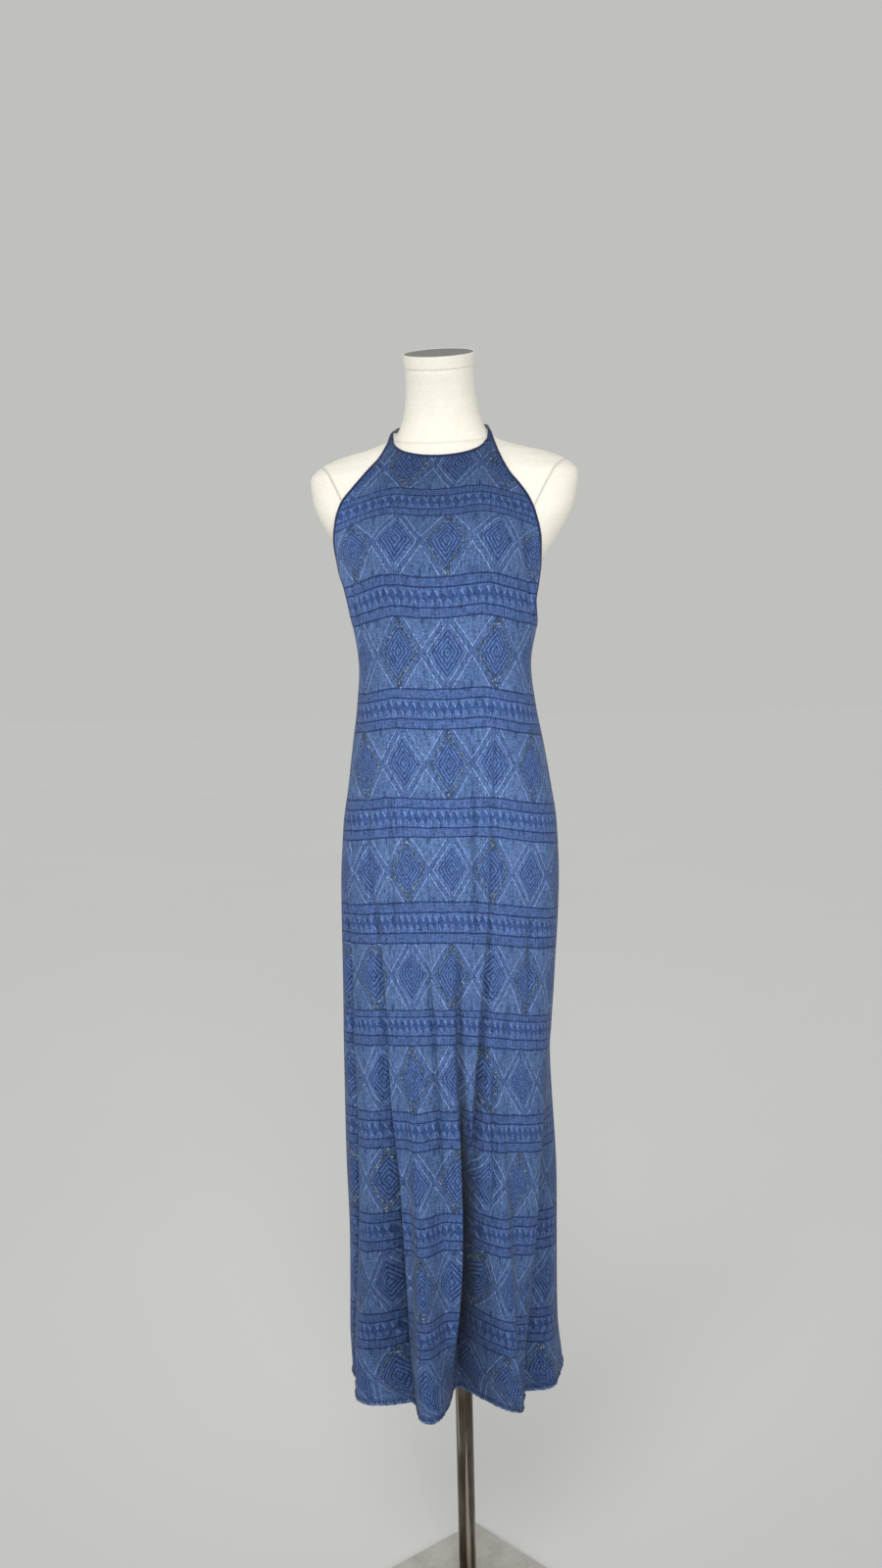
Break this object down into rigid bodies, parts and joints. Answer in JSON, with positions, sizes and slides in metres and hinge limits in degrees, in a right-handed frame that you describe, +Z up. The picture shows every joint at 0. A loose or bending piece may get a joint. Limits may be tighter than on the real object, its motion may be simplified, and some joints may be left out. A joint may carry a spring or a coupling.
{
  "type": "halter maxi dress on a dress form",
  "caption": "Sleeveless halter-neck maxi dress in woven geometric cloth, worn by a limbless linen dress form with neck cap, pole and square foot plate.",
  "frame": {"origin": "on the floor under the middle of the square foot plate, on the axis of the pole", "axes": "+Z up along the pole, -Y towards the front of the dress, +X towards the viewer's right when the front is seen"},
  "size_m": [0.396, 0.396, 1.8139],
  "materials": {
    "linen": "matt stretched linen",
    "grey_cap": "matt",
    "chrome": "polished chrome plate on steel tube",
    "stone": "light grey mottled coat on steel plate",
    "denim_jacquard": "washed indigo cotton with a woven geometric pattern",
    "navy_binding": "matt bias tape",
    "navy_button": "satin"
  },
  "bodies": {
    "root": {"form_body": "linen", "arm_plate_left": "linen", "arm_plate_right": "linen", "neck_cap_band": "linen", "neck_cap_disc": "grey_cap", "pole_socket": "chrome", "pole": "chrome", "foot_plate": "stone", "dress_front": "denim_jacquard", "dress_back": "denim_jacquard", "armhole_binding_left": "navy_binding", "armhole_binding_right": "navy_binding", "back_edge_binding": "navy_binding", "neck_binding": "navy_binding", "nape_button": "navy_button"}
  },
  "joints": []
}
